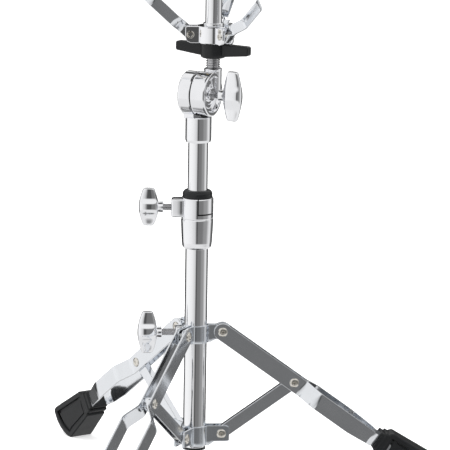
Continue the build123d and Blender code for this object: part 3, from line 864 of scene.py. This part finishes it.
hub_low, hub_high = (corner.z * 1000 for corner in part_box("basket_hub"))
bm = bmesh.new()
turned(bm, [
    (13.0, hub_low + 0.5), (13.5, hub_low), (17.2, hub_low), (18.0, hub_low + 0.8), (18.0, hub_high - 0.8),
    (17.2, hub_high), (9.35, hub_high), (9.35, hub_high - 3.2), (13.0, hub_high - 3.2),
], 96)
arms = ("left", "front", "rear")
ear = [
    (13.5, hub_low), (25.2, hub_low), (29.4, hub_low + 1.8), (31.2, hub_low + 6), (31.2, hub_high - 1.5),
    (29.7, hub_high), (13.5, hub_high),
]
for arm in arms:
    axis = Vector(joints[f"{arm}_arm_swing"]["pos_m"]) - rod_axis
    heading = math.atan2(axis.y, axis.x)
    for inner, outer in ((4.3, 7.7), (-7.7, -4.3)):
        side = bm.faces.new([bm.verts.new((x, inner, z)) for x, z in ear])
        grown = bmesh.ops.extrude_face_region(bm, geom=[side])["geom"]
        tops = [v for v in grown if isinstance(v, bmesh.types.BMVert)]
        bmesh.ops.translate(bm, vec=(0, outer - inner, 0), verts=tops)
        both = list({v for v in side.verts} | set(tops))
        edges = list({edge for vert in both for edge in vert.link_edges})
        bevelled = bmesh.ops.bevel(
            bm, geom=edges, offset=0.7, segments=2, profile=0.5, affect="EDGES", material=-1,
        )
        bmesh.ops.rotate(
            bm, verts=list({v for v in bevelled["verts"]}), cent=(0, 0, 0),
            matrix=Matrix.Rotation(heading, 3, "Z"),
        )
piece("basket_hub", bm, post_place, cast_chrome)

ring_low, ring_high = (corner.z * 1000 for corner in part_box("hub_collar"))
bm = bmesh.new()
turned(bm, [(9.4, ring_low), (11.4, ring_low), (11.4, ring_high), (9.4, ring_high)], 64)
soften(bm, 0.6, 3)
piece("hub_collar", bm, post_place, tube_chrome)

bm = bmesh.new()
for arm in arms:
    place = pivot_frame(f"{arm}_arm_swing")
    place.translation *= 1000
    for turn, grip, head in ((math.pi / 2, 7.7, 4.2), (-math.pi / 2, 7.7, 3.6)):
        one = bmesh.new()
        turned(one, [
            (0, grip - 3), (1.9, grip - 3), (2.1, grip + 1.2), (2.5, grip + 1.6), (head - 0.5, grip + 1.5),
            (head, grip + 0.9), (head, grip), (2.4, grip), (2.4, 0), (0, 0),
        ], 36)
        one.transform(place @ Matrix.Rotation(turn, 4, "X"))
        mesh = bpy.data.meshes.new("screw")
        one.to_mesh(mesh)
        one.free()
        bm.from_mesh(mesh)
        bpy.data.meshes.remove(mesh)
piece("arm_screws", bm, Matrix(), rivet_nickel)

nut_low, nut_high = (corner.z * 1000 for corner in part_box("basket_wing_nut"))
bm = bmesh.new()
turned(bm, [
    (9.7, nut_low), (11.8, nut_low), (13.1, nut_low + 0.6), (13.8, nut_low + 2.0), (14, nut_low + 4),
    (14, nut_high - 0.8), (13.4, nut_high), (9.7, nut_high),
], 64)
wing = [(10, nut_low + 1.6), (16, nut_low + 2.2), (43.8, nut_low + 5.2), (45.2, nut_low + 6.4),
        (45.2, nut_high - 2.2), (43.8, nut_high - 1), (10, nut_high - 0.3)]
for turn in (0, math.pi):
    side = bm.faces.new([bm.verts.new((x, -4.5, z)) for x, z in wing])
    grown = bmesh.ops.extrude_face_region(bm, geom=[side])["geom"]
    tops = [v for v in grown if isinstance(v, bmesh.types.BMVert)]
    bmesh.ops.translate(bm, vec=(0, 9, 0), verts=tops)
    both = list({v for v in side.verts} | set(tops))
    edges = list({edge for vert in both for edge in vert.link_edges})
    bevelled = bmesh.ops.bevel(
        bm, geom=edges, offset=1.2, segments=3, profile=0.5, affect="EDGES", material=-1,
    )
    bmesh.ops.rotate(
        bm, verts=bevelled["verts"], cent=(0, 0, 0), matrix=Matrix.Rotation(turn, 3, "Z"),
    )
bmesh.ops.rotate(bm, verts=bm.verts, cent=(0, 0, 0), matrix=Matrix.Rotation(math.radians(-28), 3, "Z"))
piece("basket_wing_nut", bm, post_place, black_nylon)

# ---------------------------------------------------------------- arms
# Steel plates on edge: each is folded into a channel between the hub's ears, cranked out to one side, then
# straight to the grip, with a stiffening lip along its lower edge.


def arm_place(arm):
    """An arm's frame: +X runs up the arm from its pivot and +Y is level."""
    joint = joints[f"{arm}_arm_swing"]
    side = -Vector(joint["axis"]).normalized()
    out = side.cross(Vector((0, 0, 1))).normalized()
    slope = math.radians(43)
    along_arm = (out * math.cos(slope) + Vector((0, 0, 1)) * math.sin(slope)).normalized()
    turn = Matrix((along_arm, side, along_arm.cross(side))).transposed().to_4x4()
    return Matrix.Translation(Vector(joint["pos_m"])) @ turn


def pressed_arm(node, place):
    end = 205.0
    half = 6.45
    bends = [(-20, 1.6), (13, 1.6), (22, 12.1), (58, 15.6), (80, -1.2), (230, -1.2)]
    bm = bmesh.new()
    outline = [(-7.5, -1.8), (-3, -half), (end, -half), (end, half), (1, half), (-7.5, 1)]
    bm.faces.new([bm.verts.new((x, 0, z)) for x, z in outline])
    for here, _ in bends[1:-1]:
        for part in (-1, -0.5, 0, 0.5, 1):
            bmesh.ops.bisect_plane(
                bm, geom=list(bm.verts) + list(bm.edges) + list(bm.faces), plane_co=(here + 3.2 * part, 0, 0),
                plane_no=(1, 0, 0),
            )
    for vert in bm.verts:
        vert.co.y = strip_offset(vert.co.x, bends)
    if max(bm.faces, key=lambda face: face.calc_area()).normal.y > 0:
        bmesh.ops.reverse_faces(bm, faces=bm.faces)
    bmesh.ops.solidify(bm, geom=list(bm.faces), thickness=2.4)
    soften(bm, 0.4, 2, 50)
    root = [(-3, -4), (11.5, -4), (11.5, 3), (-3, 3)]
    for corners, low, high in (
        (root, -half, -half + 1.8), ([(1, -4), (11.5, -4), (11.5, 3), (1, 3)], half - 1.8, half),
        ([(24, 7.0), (56, 10.1), (56, 16.6), (24, 13.5)], -half, -half + 1.8),
        ([(86, -5), (end, -5), (end, 0), (84, 0)], -half, -half + 1.8),
    ):
        side = bm.faces.new([bm.verts.new((x, y, low)) for x, y in corners])
        grown = bmesh.ops.extrude_face_region(bm, geom=[side])["geom"]
        tops = [v for v in grown if isinstance(v, bmesh.types.BMVert)]
        bmesh.ops.translate(bm, vec=(0, 0, high - low), verts=tops)
        edges = {edge for vert in list(side.verts) + tops for edge in vert.link_edges}
        bmesh.ops.bevel(
            bm, geom=list(edges), offset=0.5, segments=2, profile=0.5, affect="EDGES", material=-1,
        )
    made = piece(node, bm, place, strip_chrome)
    cutter = bmesh.new()
    pocket = [(25.8, 5.2), (24.7, 1.3), (29.4, -1.5), (51.2, 1.3), (33.5, 5.2)]
    front = cutter.faces.new([
        cutter.verts.new((x, strip_offset(x, bends) + (0.4 if z < 2 else 1.9), z)) for x, z in pocket
    ])
    grown = bmesh.ops.extrude_face_region(cutter, geom=[front])["geom"]
    tops = [v for v in grown if isinstance(v, bmesh.types.BMVert)]
    for vert in tops:
        vert.co.y -= 6
    bmesh.ops.triangulate(cutter, faces=cutter.faces)
    bmesh.ops.recalc_face_normals(cutter, faces=cutter.faces)
    in_millimetres = place.copy()
    in_millimetres.translation *= 1000
    cutter.transform(in_millimetres)
    carve(made, cutter)


for arm in arms:
    pressed_arm(f"{arm}_arm", arm_place(arm))

# ---------------------------------------------------------------- grips
# Rubber boots over the arms' ends, with a notch that the drum's hoop sits in.

grip_outline = [
    (150.7, 637.0), (162.9, 623.8), (181, 640.5), (191, 647), (197, 658), (197, 674), (194.5, 677),
    (191.5, 675.5), (187.5, 658), (184, 655.5), (173, 655.5), (166, 652),
]
for arm in arms:
    axis = Vector(joints[f"{arm}_arm_swing"]["pos_m"]) - rod_axis
    bm = bmesh.new()
    side = bm.faces.new([bm.verts.new((x, -9, z)) for x, z in grip_outline])
    grown = bmesh.ops.extrude_face_region(bm, geom=[side])["geom"]
    bmesh.ops.translate(bm, vec=(0, 18, 0), verts=[v for v in grown if isinstance(v, bmesh.types.BMVert)])
    bmesh.ops.recalc_face_normals(bm, faces=bm.faces)
    soften(bm, 1.4, 3, 20)
    turn = Matrix.Rotation(math.atan2(axis.y, axis.x), 4, "Z")
    piece(f"{arm}_grip", bm, post_place @ turn, black_rubber)

# ---------------------------------------------------------------- hidden pieces
# The plug, the guide and the thread insert keep their own shapes and take a finish.

brass = finish_material("brass", chrome_finish((0.72, 0.55, 0.27), 0.22, 0.4))
for node, material in (
    ("base_tube_plug", black_nylon), ("upper_tube_glide", black_nylon), ("basket_nut_insert", brass),
):
    for material_slot in frame["nodes"][node].material_slots:
        material_slot.material = material
